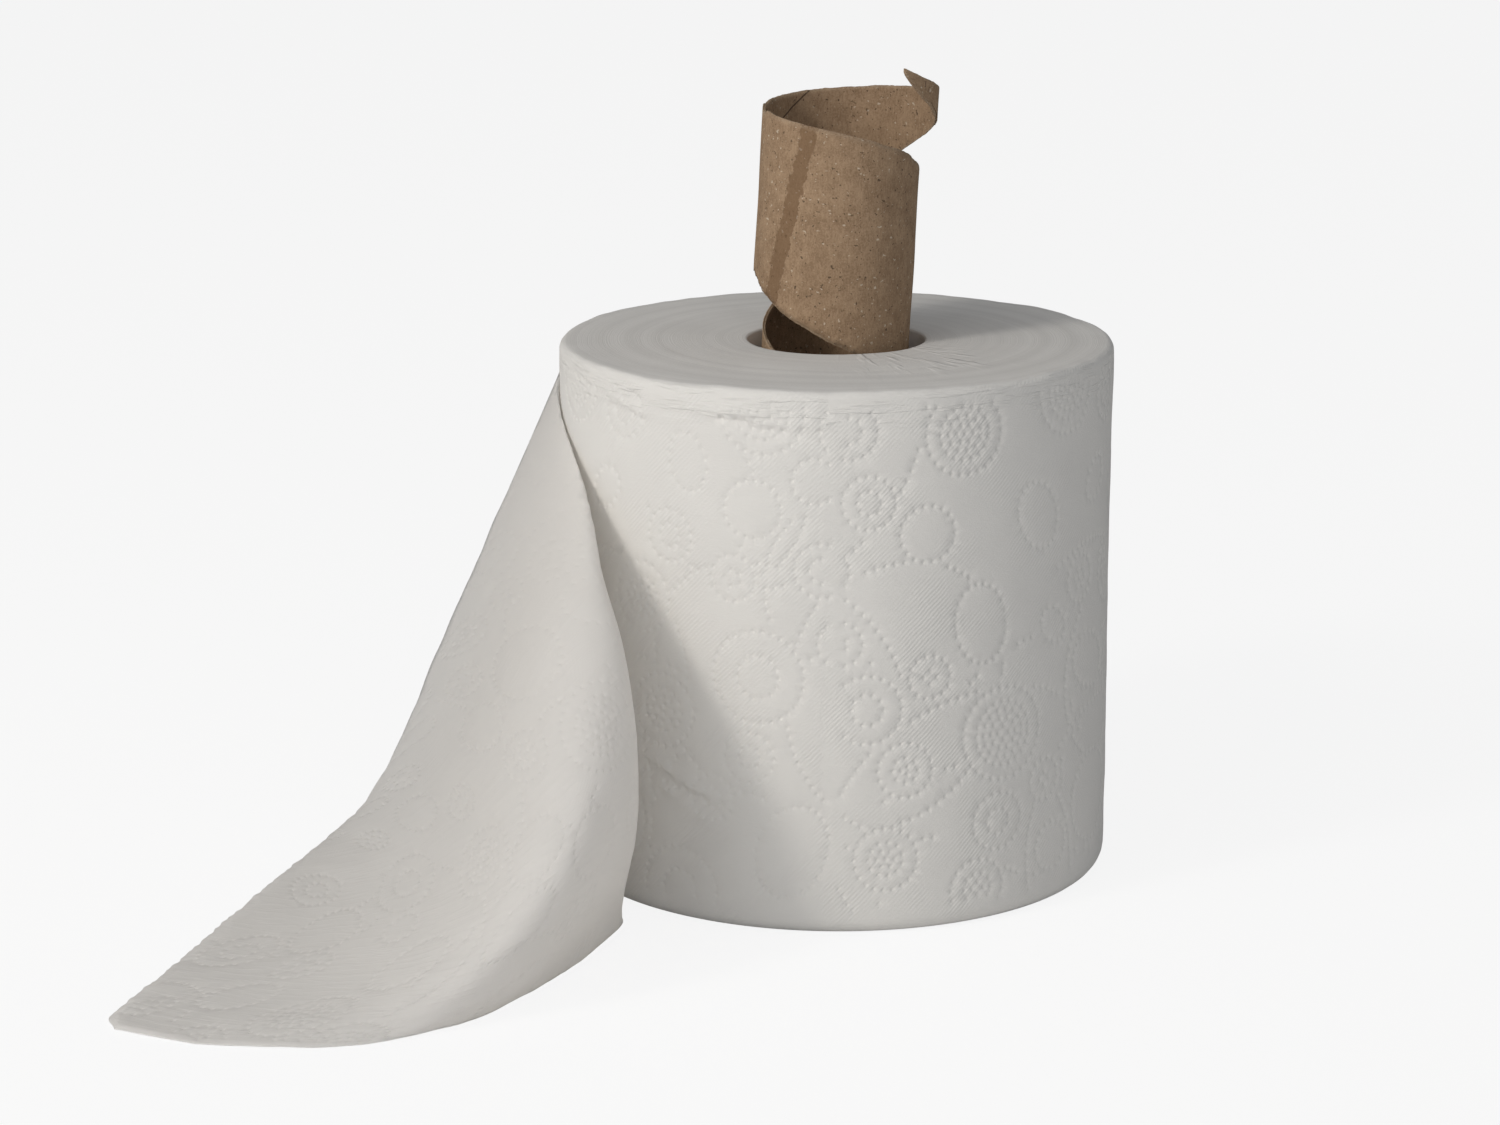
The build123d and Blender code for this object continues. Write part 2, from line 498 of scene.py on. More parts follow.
@dataclass(frozen=True)
class BoardFinish:
    """Grey-brown recycled board with specks, fibres and a dark glue stripe."""

    brown: Colour = (0.25, 0.163, 0.098, 1)
    pale: Colour = (0.405, 0.28, 0.178, 1)
    glue: Colour = (0.17, 0.098, 0.05, 1)
    line: Colour = (0.05, 0.03, 0.018, 1)
    dark_speck: Colour = (0.07, 0.047, 0.032, 1)
    pale_speck: Colour = (0.66, 0.57, 0.45, 1)
    torn: Colour = (0.43, 0.335, 0.24, 1)
    mottle_grain: float = 170.0
    fine_grain: float = 1500.0
    fibre_grain: tuple[float, float, float] = (1400.0, 1400.0, 330.0)
    dark_grain: float = 900.0
    pale_grain: tuple[float, float, float] = (620.0, 620.0, 820.0)
    ragged_grain: float = 420.0
    dark_weight: float = 0.75
    pale_weight: float = 0.6
    line_weight: float = 0.85
    torn_weight: float = 0.7
    relief: float = 0.22 * MM
    roughness: float = 0.9
    gloss: float = 0.2

    def material(self, name: str) -> bpy.types.Material:
        """Builds the material.

        Args:
            name: The material's name.

        Returns:
            The material, which reads the glue, torn-edge and seam attributes.
        """
        nodes = FinishNodes(name)
        place = nodes.add("ShaderNodeTexCoord", {}, {}, "Object")
        mottle = nodes.noise(place, self.mottle_grain, 4.0, 0.62)
        grain = nodes.noise(place, self.fine_grain, 3.0, 0.7)
        fibre = nodes.noise(nodes.stretched(place, self.fibre_grain), 1.0, 3.0, 0.7)
        dark = nodes.noise(place, self.dark_grain, 1.0).step(0.67, 0.74)
        bright = nodes.noise(nodes.stretched(place, self.pale_grain), 1.0, 1.0).step(0.69, 0.75)
        ragged = nodes.noise(place, self.ragged_grain, 2.0, 0.6) - 0.5
        tone = mottle * 0.36 + grain * 0.38 + fibre * 0.26
        colour = nodes.mix(tone.step(0.36, 0.64), self.brown, self.pale)
        colour = nodes.mix(dark * self.dark_weight, colour, self.dark_speck)
        colour = nodes.mix(bright * self.pale_weight, colour, self.pale_speck)
        stripe = (nodes.attribute(GLUE) + ragged * 1.3 + (grain - 0.5) * 0.6).step(0.44, 0.56)
        colour = nodes.mix(stripe * (0.45 + mottle * 0.4), colour, self.glue)
        offset = nodes.attribute(SEAM) + ragged * 0.5
        line = offset.math("ABSOLUTE", offset).step(0.5, 0.2)
        colour = nodes.mix(line * self.line_weight, colour, self.line)
        torn = nodes.attribute(TORN) * grain.step(0.3, 0.7)
        colour = nodes.mix(torn * self.torn_weight, colour, self.torn)
        height = grain * 0.5 + fibre * 0.45 + mottle * 0.3 - stripe * 0.5
        return nodes.surface(colour, self.roughness, self.gloss, height, self.relief)


@dataclass(frozen=True)
class FloorFinish:
    """Plain pale floor that stays white to the eye and keeps the object's shadow."""

    white: Colour = (0.9, 0.9, 0.9, 1)
    glow: Colour = (1, 1, 1, 1)
    glow_share: float = 0.87

    def material(self, name: str) -> bpy.types.Material:
        """Builds the material.

        Args:
            name: The material's name.

        Returns:
            The material, part of which glows for the camera only.
        """
        nodes = FinishNodes(name)
        seen = nodes.add("ShaderNodeLightPath", {}, {}, "Is Camera Ray")
        matt = nodes.add("ShaderNodeBsdfDiffuse", {}, {"Color": self.white})
        glow = nodes.add("ShaderNodeEmission", {}, {"Color": self.glow, "Strength": 1.0})
        return nodes.closed(nodes.shader_mix(seen * self.glow_share, matt, glow))


class Figure(Enum):
    """Dotted figures of the embossing."""

    DISC = "disc"
    TARGET = "target"
    RING = "ring"
    OVAL = "oval"


@dataclass
class FlatMesh:
    """A flat web cut into triangles, with the height of its embossing at each point."""

    points: np.ndarray
    relief: np.ndarray
    triangles: list[tuple[int, ...]]


@dataclass
class Embossing:
    """Dotted rings, discs and arcs pressed into the web, laid out over a length that repeats."""

    length: float
    height: float
    seed: int
    dot_pitch: float = 3.3 * MM
    dot_radius: float = 1.05 * MM
    dot_depth: float = 0.36 * MM
    lip: float = 0.05 * MM
    pillow: float = 0.12 * MM
    pillow_reach: float = 6.0 * MM
    smallest: float = 7.0 * MM
    largest: float = 17.0 * MM
    spacing: float = 3.2 * MM
    tries: int = 500
    shrinking: float = 0.45
    odds: tuple[float, ...] = (0.24, 0.24, 0.28, 0.24)
    figure_room: float = 0.8
    oval_share: float = 0.72
    oval_stretch: float = 1.4
    target_share: float = 0.46
    disc_edge: float = 1.5
    disc_pitch: float = 0.88
    sweeps: int = 16
    sweep_radius: tuple[float, float] = (26.0, 26.0)
    sweep_stretch: float = 0.3
    sweep_share: tuple[float, float] = (0.35, 0.4)
    sweep_room: float = 0.7
    margin: float = 2.2 * MM
    row_share: float = 0.87
    grid_room: float = 0.55
    dot_margin: float = 1.35
    dot_room: float = 1.5
    dot_rings: tuple[tuple[float, int, float], ...] = ((0.0, 1, 1.0), (0.55, 6, 0.62))
    lip_points: int = 8
    weld: float = 1e-7

    def ring(self, centre: np.ndarray, radius: float, stretch: float = 1.0, turn: float = 0.0) -> np.ndarray:
        """Dots on a ring or an oval.

        Args:
            centre: The ring's middle.
            radius: Its radius across the stretch.
            stretch: How much longer the oval is than it is wide.
            turn: The oval's turn.

        Returns:
            The dots' places.
        """
        count = max(1, round(math.pi * radius * (1 + stretch) / self.dot_pitch))
        angles = np.arange(count) * FULL_TURN / count
        dots = np.stack([radius * stretch * np.cos(angles), radius * np.sin(angles)], 1)
        axes = np.array([[math.cos(turn), math.sin(turn)], [-math.sin(turn), math.cos(turn)]])
        return dots @ axes + centre

    def figure(self, kind: Figure, centre: np.ndarray, radius: float, turn: float) -> np.ndarray:
        """Dots of one figure.

        Args:
            kind: Which figure it is.
            centre: Its middle.
            radius: Its outer radius.
            turn: The turn of an oval.

        Returns:
            The dots' places.
        """
        if kind is Figure.OVAL:
            return self.ring(centre, radius * self.oval_share, self.oval_stretch, turn)
        rings = [self.ring(centre, radius)]
        if kind is Figure.TARGET:
            rings.append(self.ring(centre, radius * self.target_share))
        if kind is Figure.DISC:
            edge = radius - self.disc_edge * self.dot_pitch
            inner = np.arange(edge, 0, -self.dot_pitch * self.disc_pitch)
            rings += [self.ring(centre, reach) for reach in inner]
        return np.concatenate(rings)

    def wrapped(self, points: np.ndarray) -> np.ndarray:
        """Points brought back into the repeating length."""
        return np.stack([points[:, 0] % self.length, points[:, 1]], 1)

    def clear_of(self, dots: np.ndarray, others: np.ndarray, gap: float) -> np.ndarray:
        """Tells which dots lie clear of others, round the repeat as well.

        Args:
            dots: The dots in question.
            others: What they have to be clear of.
            gap: The least distance.

        Returns:
            True for each dot that is clear.
        """
        apart = np.abs(dots[:, None, :] - others[None, :, :])
        apart[..., 0] = np.minimum(apart[..., 0], self.length - apart[..., 0])
        return (np.hypot(apart[..., 0], apart[..., 1]) > gap).all(1)

    def dots(self) -> np.ndarray:
        """Lays out the figures and the arcs that sweep between them.

        Returns:
            The places of all dots, within the web's margins.
        """
        chance = np.random.default_rng(self.seed)
        kinds = list(Figure)
        placed: list[tuple[np.ndarray, float]] = []
        groups: list[np.ndarray] = []
        for attempt in range(self.tries):
            shrink = 1 - self.shrinking * attempt / self.tries
            radius = self.smallest + (self.largest - self.smallest) * chance.random() * shrink
            centre = chance.random(2) * (self.length, self.height)
            room = self.dot_pitch * self.figure_room
            others = [(other[None], radius + size + room) for other, size in placed]
            if all(self.clear_of(centre[None], *other)[0] for other in others):
                placed.append((centre, radius))
                kind = kinds[int(chance.choice(len(kinds), p=self.odds))]
                groups.append(self.wrapped(self.figure(kind, centre, radius, chance.random() * math.pi)))
        for _ in range(self.sweeps):
            radius = (self.sweep_radius[0] + self.sweep_radius[1] * chance.random()) * MM
            centre = chance.random(2) * (self.length, self.height)
            stretch = 1 + self.sweep_stretch * chance.random()
            arc = self.wrapped(self.ring(centre, radius, stretch, chance.random() * math.pi))
            first = int(chance.random() * len(arc))
            share = self.sweep_share[0] + self.sweep_share[1] * chance.random()
            arc = np.roll(arc, first, 0)[: int(len(arc) * share)]
            for other, size in placed:
                arc = arc[self.clear_of(arc, other[None], size + self.dot_pitch * self.sweep_room)]
            if len(arc):
                gap = self.dot_pitch * self.figure_room
                groups.append(arc[self.clear_of(arc, np.concatenate(groups), gap)])
        found = np.concatenate(groups)
        inside = (found[:, 1] > self.margin) & (found[:, 1] < self.height - self.margin)
        return found[inside]

    def relief_at(self, points: np.ndarray, dots: np.ndarray) -> np.ndarray:
        """How far the web puffs up between the dots, at each point."""
        return self.pillow * smooth_share(nearest_gaps(points, dots), self.dot_radius, self.pillow_reach)

    def flat_mesh(self, border: np.ndarray, inside: Callable[[np.ndarray, float], np.ndarray]) -> FlatMesh:
        """Cuts the web into triangles that follow every dot.

        Args:
            border: The web's outline, point by point.
            inside: Tells which points lie further than a margin within the outline.

        Returns:
            The flat mesh with its relief.
        """
        dots = self.dots()
        low, high = border.min(0), border.max(0)
        if high[0] > self.length:
            dots = np.concatenate([dots, dots + (self.length, 0)])
        dots = dots[inside(dots, self.dot_radius * self.dot_margin)]
        rows = np.arange(low[1], high[1], self.spacing * self.row_share)
        grid = [
            (x + self.spacing / 2 * (row % 2), y)
            for row, y in enumerate(rows)
            for x in np.arange(low[0], high[0], self.spacing)
        ]
        grid = np.array(grid)
        grid = grid[inside(grid, self.spacing * self.grid_room)]
        grid = grid[nearest_gaps(grid, dots) > self.dot_radius * self.dot_room]
        field_points = np.concatenate([border, grid])
        points = [field_points]
        relief = [self.relief_at(field_points, dots)]
        rings = (*self.dot_rings, (1.0, self.lip_points, -self.lip / self.dot_depth))
        for share, count, depth in rings:
            angles = np.arange(count) * FULL_TURN / count
            offsets = self.dot_radius * share * np.stack([np.cos(angles), np.sin(angles)], 1)
            points.append((dots[:, None, :] + offsets[None]).reshape(-1, 2))
            relief.append(np.full(len(dots) * count, -self.dot_depth * depth))
        points, relief = np.concatenate(points), np.concatenate(relief)
        edges = [(number, (number + 1) % len(border)) for number in range(len(border))]
        cut = delaunay_2d_cdt([Vector(point) for point in points], edges, [], 1, self.weld)
        kept = [origins[0] for origins in cut[3]]
        LOG.info("embossing: %d dots, %d triangles", len(dots), len(cut[2]))
        return FlatMesh(np.array([tuple(point) for point in cut[0]]), relief[kept], cut[2])


@dataclass
class Crease:
    """A soft fold pressed across the roll's side, from one place to another."""

    start_angle: float
    start_height: float
    end_angle: float
    end_height: float
    depth: float
    width: float


@dataclass
class WoundRoll:
    """The wound turns: embossed side, rounded ends and bore."""

    radius: float
    height: float
    bore_radius: float = 30.5 * MM
    base_rounding: float = 6.0 * MM
    rim_rounding: float = 2.5 * MM
    bore_rounding: float = 1.0 * MM
    wedges: int = 3
    columns: int = 80
    rounding_points: int = 7
    under_points: int = 12
    wall_points: int = 16
    top_points: int = 34
    unevenness: float = 0.45 * MM
    rim_waviness: float = 0.7 * MM
    turn_ripple: float = 0.16 * MM
    top_unevenness: float = 0.25 * MM
    emboss_seed: int = 11
    emboss_fade: float = 4 * MM
    join_fade: float = 2 * MM
    edge_inset: float = 1.2 * MM
    merge_distance: float = 0.02 * MM
    lump_sizes: tuple[float, float, float] = (42 * MM, 17 * MM, 24 * MM)
    ripple_size: float = 2.6 * MM
    side_band: tuple[float, float] = (8 * MM, 1 * MM)
    rim_band: tuple[float, float] = (9 * MM, 1 * MM)
    top_band: tuple[float, float] = (6 * MM, 1 * MM)
    foot_fade: float = 12 * MM
    rim_grains: tuple[float, float] = (0.35, 0.09)
    crease_sway: float = 1.2 * MM
    crease_waves: float = 7.0
    crease_valley: tuple[float, float] = (0.8, 1.3)
    crease_fade: float = 0.3
    creases: list[Crease] = field(
        default_factory=lambda: [
            Crease(46, 56 * MM, 20, 45 * MM, 1.1 * MM, 2.4 * MM),
            Crease(40, 46 * MM, 22, 36 * MM, 0.9 * MM, 2.1 * MM),
            Crease(52, 178.6 * MM, 8, 176.6 * MM, 0.8 * MM, 1.5 * MM),
            Crease(34, 174.8 * MM, -4, 173.4 * MM, 0.7 * MM, 1.6 * MM),
            Crease(60, 175.5 * MM, 28, 171.5 * MM, 0.6 * MM, 1.7 * MM),
        ]
    )

    def wedge_angle(self) -> float:
        """Angle of one repeat of the embossing."""
        return FULL_TURN / self.wedges

    def profile(self) -> np.ndarray:
        """Section from the foot of the side, under the roll, up the bore and over the top to the rim.

        Returns:
            Radii and heights, row by row.
        """
        quarter = np.linspace(0, math.pi / 2, self.rounding_points)
        base = self.base_rounding
        rim = self.rim_rounding
        lip = self.bore_rounding
        foot = [(self.radius - base + base * math.cos(a), base - base * math.sin(a)) for a in quarter]
        inward = np.linspace(self.radius - base, self.bore_radius, self.under_points)[1:]
        under = [(r, 0.0) for r in inward]
        wall = [(self.bore_radius, z) for z in np.linspace(0, self.height - lip, self.wall_points)[1:]]
        mouth = [
            (self.bore_radius + lip - lip * math.cos(a), self.height - lip + lip * math.sin(a))
            for a in quarter[2::2]
        ]
        outward = np.linspace(self.bore_radius + lip, self.radius - rim, self.top_points)[1:]
        top = [(r, self.height) for r in outward]
        edge = [
            (self.radius - rim + rim * math.sin(a), self.height - rim + rim * math.cos(a))
            for a in quarter[1:]
        ]
        return np.array(foot + under + wall + mouth + top + edge)

    def around(self, angles: np.ndarray, radii: np.ndarray, heights: np.ndarray) -> np.ndarray:
        """Points round the roll, at angles in radians from the front towards the left."""
        return np.stack([-radii * np.sin(angles), -radii * np.cos(angles), heights], 1)

    def wedge(self) -> bpy.types.Object:
        """Builds one repeat of the roll.

        Returns:
            A wedge of the whole surface, with its turn edges marked.
        """
        low, high = self.base_rounding, self.height - self.rim_rounding
        length = self.radius * self.wedge_angle()
        embossing = Embossing(length, high - low, seed=self.emboss_seed)
        across = np.linspace(0, length, self.columns + 1)
        rows = round((high - low) / embossing.spacing)
        up = np.linspace(0, high - low, rows + 1)
        border = np.array(
            [(x, 0.0) for x in across[:-1]]
            + [(length, y) for y in up[:-1]]
            + [(x, high - low) for x in across[:0:-1]]
            + [(0.0, y) for y in up[:0:-1]]
        )
        web = embossing.flat_mesh(border, lambda points, margin: within(points, length, high - low, margin))
        along, level = web.points.T
        fade = smooth_share(np.minimum(level, high - low - level), 0, self.emboss_fade)
        seam = smooth_share(np.minimum(along, length - along), 0, self.join_fade)
        relief = np.where(web.relief > 0, web.relief * fade * seam, web.relief * fade)
        side = self.around(along / self.radius, self.radius + relief, level + low)
        profile = self.profile()
        angles = np.repeat(across / self.radius, len(profile))
        ends = self.around(angles, np.tile(profile[:, 0], len(across)), np.tile(profile[:, 1], len(across)))
        first, rows = len(side), len(profile)
        faces = [tuple(reversed(triangle)) for triangle in web.triangles]
        turn_edges = [0.0] * len(faces)
        for column in range(self.columns):
            for row in range(rows - 1):
                corner = first + column * rows + row
                faces.append((corner, corner + rows, corner + rows + 1, corner + 1))
                turn_edges.append(float(profile[row : row + 2, 0].mean() < self.radius - self.edge_inset))
        piece = mesh_object("roll_wedge", np.concatenate([side, ends]), faces)
        marks = piece.data.attributes.new(TURN_EDGE, "FLOAT", "FACE")
        marks.data.foreach_set("value", turn_edges)
        return piece

    def repeat_tree(self, web: bpy.types.Material, edge: bpy.types.Material) -> bpy.types.NodeTree:
        """Node tree that repeats the wedge about the roll's axis.

        Args:
            web: Material of the web's face.
            edge: Material of the turn edges.

        Returns:
            The tree, with inputs for the number of wedges and the merging distance.
        """
        tree = bpy.data.node_groups.new("wedges_round_axis", "GeometryNodeTree")
        inputs = {"Geometry": "Geometry", "Wedges": "Int", "Merge Distance": "Float"}
        for name, kind in inputs.items():
            tree.interface.new_socket(name, in_out="INPUT", socket_type=f"NodeSocket{kind}")
        tree.interface.new_socket("Geometry", in_out="OUTPUT", socket_type="NodeSocketGeometry")
        nodes = Nodes(tree)
        start = nodes.add("NodeGroupInput")
        wedges = start.output("Wedges")
        points = nodes.add("GeometryNodeMeshLine", {}, {"Count": wedges, "Offset": (0, 0, 0)})
        turn = nodes.add("GeometryNodeInputIndex") / wedges * FULL_TURN
        euler = nodes.add("ShaderNodeCombineXYZ", {}, {"Z": turn})
        rotation = nodes.add("FunctionNodeEulerToRotation", {}, {"Euler": euler})
        sockets = {"Points": points, "Instance": start, "Rotation": rotation}
        copies = nodes.add("GeometryNodeInstanceOnPoints", {}, sockets)
        real = nodes.add("GeometryNodeRealizeInstances", {}, {"Geometry": copies})
        sockets = {"Geometry": real, "Distance": start.output("Merge Distance")}
        merged = nodes.add("GeometryNodeMergeByDistance", {}, sockets)
        mark = nodes.add("GeometryNodeInputNamedAttribute", {"data_type": "FLOAT"}, {"Name": TURN_EDGE})
        faced = nodes.add("GeometryNodeSetMaterial", {}, {"Geometry": merged, "Material": web})
        sockets = {"Geometry": faced, "Selection": mark, "Material": edge}
        edged = nodes.add("GeometryNodeSetMaterial", {}, sockets)
        nodes.add("NodeGroupOutput", {}, {0: edged})
        return tree

    def whole(self, web: bpy.types.Material, edge: bpy.types.Material) -> bpy.types.Object:
        """Repeats the wedge into the whole roll.

        Args:
            web: Material of the web's face.
            edge: Material of the turn edges.

        Returns:
            The roll as a plain mesh.
        """
        wedge = self.wedge()
        tree = self.repeat_tree(web, edge)
        modifier = wedge.modifiers.new("repeat", "NODES")
        modifier.node_group = tree
        values = {"Wedges": self.wedges, "Merge Distance": self.merge_distance}
        for item in tree.interface.items_tree:
            if item.in_out == "INPUT" and item.name in values:
                modifier[item.identifier] = values[item.name]
        bpy.context.view_layer.update()
        evaluated = wedge.evaluated_get(bpy.context.evaluated_depsgraph_get())
        mesh = bpy.data.meshes.new_from_object(evaluated)
        wedge.modifiers.clear()
        bpy.data.objects.remove(wedge)
        mesh.name = "wound_roll"
        return scene_object("wound_roll", mesh)

    def soften(self, piece: bpy.types.Object) -> None:
        """Gives the roll its uneven side, wavy rim, rippled end and creases.

        Args:
            piece: The roll, whose vertices move by a millimetre or so.
        """
        mesh = piece.data
        points = np.zeros(len(mesh.vertices) * 3)
        mesh.vertices.foreach_get("co", points)
        points = points.reshape(-1, 3)
        reach = np.hypot(points[:, 0], points[:, 1])
        angles = np.arctan2(-points[:, 0], -points[:, 1])
        height = points[:, 2]
        outer = smooth_share(reach, *(self.radius - inset for inset in self.side_band))
        broad, fine, wide = self.lump_sizes
        waves = soft_noise(points * (1, 1, 0.6), broad) + 0.5 * soft_noise(points, fine, 7.3)
        push = waves * self.unevenness * outer * smooth_share(height, 0, self.foot_fade)
        degrees = np.degrees(angles)
        valley, valley_drop = self.crease_valley
        for crease in self.creases:
            along = (degrees - crease.start_angle) / (crease.end_angle - crease.start_angle)
            sway = self.crease_sway * np.sin(along * self.crease_waves)
            level = between(crease.start_height, crease.end_height, along) + sway
            ends = smooth_share(along, 0, self.crease_fade) * smooth_share(1 - along, 0, self.crease_fade)
            away = (height - level) / crease.width
            fold = np.exp(-(away**2)) - valley * np.exp(-((away + valley_drop) ** 2))
            push += crease.depth * ends * outer * fold
        top = smooth_share(height, *(self.height - inset for inset in self.top_band))
        rim = smooth_share(reach, *(self.radius - inset for inset in self.rim_band))
        circle = np.stack([np.cos(angles), np.sin(angles), reach * 0], 1)
        broad, fine = self.rim_grains
        wave = soft_noise(circle, broad) * 0.6 + soft_noise(circle, fine, 3.1) * 0.4
        ripple = soft_noise(on_line(reach), self.ripple_size, 1.7)
        lift = top * (rim * self.rim_waviness * wave + self.turn_ripple * ripple)
        lift += top * self.top_unevenness * soft_noise(points, wide, 5.2)
        factor = 1 + push / np.maximum(reach, MM)
        points[:, 0] *= factor
        points[:, 1] *= factor
        points[:, 2] = np.maximum(height + lift, 0)
        mesh.vertices.foreach_set("co", points.ravel())
        mesh.update()
        set_web_uv(mesh, np.stack([(angles % FULL_TURN) * self.radius, height], 1), FULL_TURN * self.radius)

    def build(self, web: bpy.types.Material, edge: bpy.types.Material) -> bpy.types.Object:
        """Builds and dresses the roll.

        Args:
            web: Material of the web's face.
            edge: Material of the turn edges.

        Returns:
            The finished piece.
        """
        piece = self.whole(web, edge)
        self.soften(piece)
        piece.data.shade_smooth()
        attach(piece, "root")
        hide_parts("paper_roll")
        return piece


@dataclass
class LooseEnd:
    """The last stretch of the web, which leaves the roll, rounds a hanging bend and falls to the floor."""

    roll_radius: float
    roll_height: float
    rim_rounding: float = 2.5 * MM
    thickness: float = 0.6 * MM
    clearance: float = 0.4 * MM
    floor_clearance: float = 0.7 * MM
    peel_angles: tuple[float, float] = (97.0, 125.0)
    wrap_ease: float = 0.85
    bend_angle: tuple[float, float, float] = (39.0, -89.0, 56.0)
    bend_angle_power: int = 6
    bend_gap: tuple[float, float, float] = (16 * MM, 270 * MM, 0.8 * MM)
    bulge_power: float = 1.8
    bend_drop: float = 0.06
    hug_levels: tuple[float, float] = (0.68, 0.96)
    landing: tuple[float, float] = (74 * MM, 52 * MM)
    tip: tuple[float, float] = (133 * MM, 188 * MM)
    leaving: tuple[float, float] = (80 * MM, 260 * MM)
    arriving: tuple[float, float] = (300 * MM, 140 * MM)
    hug: float = 0.9
    sink: float = 1.1 * MM
    sink_share: float = 0.3
    wrap_points: int = 121
    fall_points: int = 181
    levels: int = 97
    stations: int = 241
    smoothing: int = 12
    edge_step: float = 2.4 * MM
    peel_steps: int = 75
    tear_points: int = 150
    tear_grain: float = 0.022
    tear_depth: float = 0.9 * MM
    scallops: int = 42
    scallop_depth: float = 0.5 * MM
    tear_room: float = 1.4 * MM
    corner: float = 6 * MM
    corner_level: float = 0.04
    emboss_length: float = 0.36
    emboss_seed: int = 5
    dot_depth: float = 0.34 * MM
    pillow: float = 0.26 * MM
    spacing: float = 3.4 * MM
    free_shares: tuple[float, float] = (0.28, 0.6)
    held_relief: float = 0.15
    drape: float = 0.9 * MM
    lump_sizes: tuple[float, float] = (38 * MM, 13 * MM)
    floor_share: float = 0.6
    ply_share: float = 0.8

    def strand(self, level: float) -> np.ndarray:
        """One line along the web.

        Args:
            level: From 0 at the web's bottom edge to 1 at its top edge.

        Returns:
            Points from the peel line to the end on the floor.
        """
        resting = self.roll_radius + self.clearance + self.thickness / 2
        lowest = self.floor_clearance + self.thickness / 2
        height = max(lowest, (self.roll_height - self.rim_rounding) * level)
        bend_height = max(lowest, height * (1 - self.bend_drop * level))
        base, middle, top = self.bend_angle
        bulge = level * (1 - level) ** self.bulge_power
        bend_angle = base + middle * bulge + top * level**self.bend_angle_power
        base, middle, top = self.bend_gap
        gap = between(base, top, level) + middle * bulge
        gap *= 1 - self.hug * float(smooth_share(level, *self.hug_levels))
        peel = between(*self.peel_angles, level)
        share = np.linspace(0, 1, self.wrap_points)
        angles = np.radians(between(peel, bend_angle, share + self.wrap_ease * share * (1 - share)))
        sunk = self.sink * (1 - smooth_share(share, 0, self.sink_share))
        radii = resting + gap * share**2 - sunk
        heights = between(height, bend_height, share)
        wrap = np.stack([-radii * np.sin(angles), -radii * np.cos(angles), heights], 1)
        bend = wrap[-1]
        landing = np.array([-self.roll_radius - self.landing[0], self.landing[1], lowest])
        tip = np.array([-self.roll_radius - self.tip[0], -self.tip[1], lowest])
        end = between(tip, landing, level)
        fall = end - bend
        leaving = between(np.array([-self.leaving[0], -self.leaving[1], 0]), fall, level**2)
        arriving = between(np.array([-self.arriving[0], self.arriving[1], 0]), fall, level**2)
        share = np.linspace(0, 1, self.fall_points)[1:, None]
        left = 1 - share
        falling = (
            bend * (left * left * (1 + 2 * share))
            + leaving * (share * left * left)
            + end * (share * share * (1 + 2 * left))
            - arriving * (share * share * left)
        )
        return np.concatenate([wrap, falling])

    def surface(self) -> tuple[np.ndarray, np.ndarray]:
        """The web's middle surface, sampled evenly along each strand.

        Returns:
            A grid of points by level and station, and each strand's length.
        """
        rows, lengths = [], []
        for level in np.linspace(0, 1, self.levels):
            line = self.strand(level)
            run = np.concatenate([[0], np.cumsum(np.linalg.norm(np.diff(line, axis=0), axis=1))])
            even = np.linspace(0, run[-1], self.stations)
            rows.append(np.stack([np.interp(even, run, line[:, axis]) for axis in range(3)], 1))
            lengths.append(run[-1])
        grid = np.array(rows)
        for _ in range(self.smoothing):
            grid[:, 1:-1] = 0.5 * grid[:, 1:-1] + 0.25 * (grid[:, :-2] + grid[:, 2:])
        return grid, np.array(lengths)

    def sampled(self, grid: np.ndarray, levels: np.ndarray, shares: np.ndarray) -> np.ndarray:
        """Values of a grid between its points.

        Args:
            grid: Values by level and station.
            levels: Levels from 0 to 1.
            shares: Shares along the strands from 0 to 1.

        Returns:
            One row for each level and share.
        """
        row = np.clip(levels, 0, 1) * (self.levels - 1)
        column = np.clip(shares, 0, 1) * (self.stations - 1)
        low = np.minimum(row.astype(int), self.levels - 2)
        left = np.minimum(column.astype(int), self.stations - 2)
        up, along = (row - low)[:, None], (column - left)[:, None]
        near = grid[low, left] * (1 - along) + grid[low, left + 1] * along
        far = grid[low + 1, left] * (1 - along) + grid[low + 1, left + 1] * along
        return near * (1 - up) + far * up

    def end_reach(self, levels: np.ndarray, lengths: np.ndarray) -> np.ndarray:
        """How far the web reaches at each level, with its blunt bottom corner."""
        blunt = self.corner * np.clip(1 - levels / self.corner_level, 0, 1) ** 2
        return np.interp(levels, np.linspace(0, 1, self.levels), lengths) - blunt

    def outline(self, lengths: np.ndarray) -> np.ndarray:
        """Outline of the flat web, with its uneven torn end.

        Args:
            lengths: Length of each strand, from the bottom edge to the top.

        Returns:
            The outline's points, in flat coordinates.
        """
        height = self.roll_height
        steps = np.linspace(0, 1, self.peel_steps)[:-1]
        tear = np.linspace(0, 1, self.tear_points)
        reach = self.end_reach(tear, lengths)
        nibble = soft_noise(on_line(tear), self.tear_grain) * self.tear_depth
        nibble += np.abs(np.sin(tear * self.scallops * math.pi)) * self.scallop_depth
        bottom = [(reach[0] * s, 0.0) for s in np.linspace(0, 1, int(reach[0] / self.edge_step))[:-1]]
        end = [(r - n, t * height) for r, n, t in zip(reach, np.clip(nibble, 0, None), tear)]
        top = [(lengths[-1] * s, height) for s in np.linspace(1, 0, int(lengths[-1] / self.edge_step))[1:-1]]
        back = [(0.0, height * s) for s in (1 - steps)]
        return np.array(bottom + end + top + back)

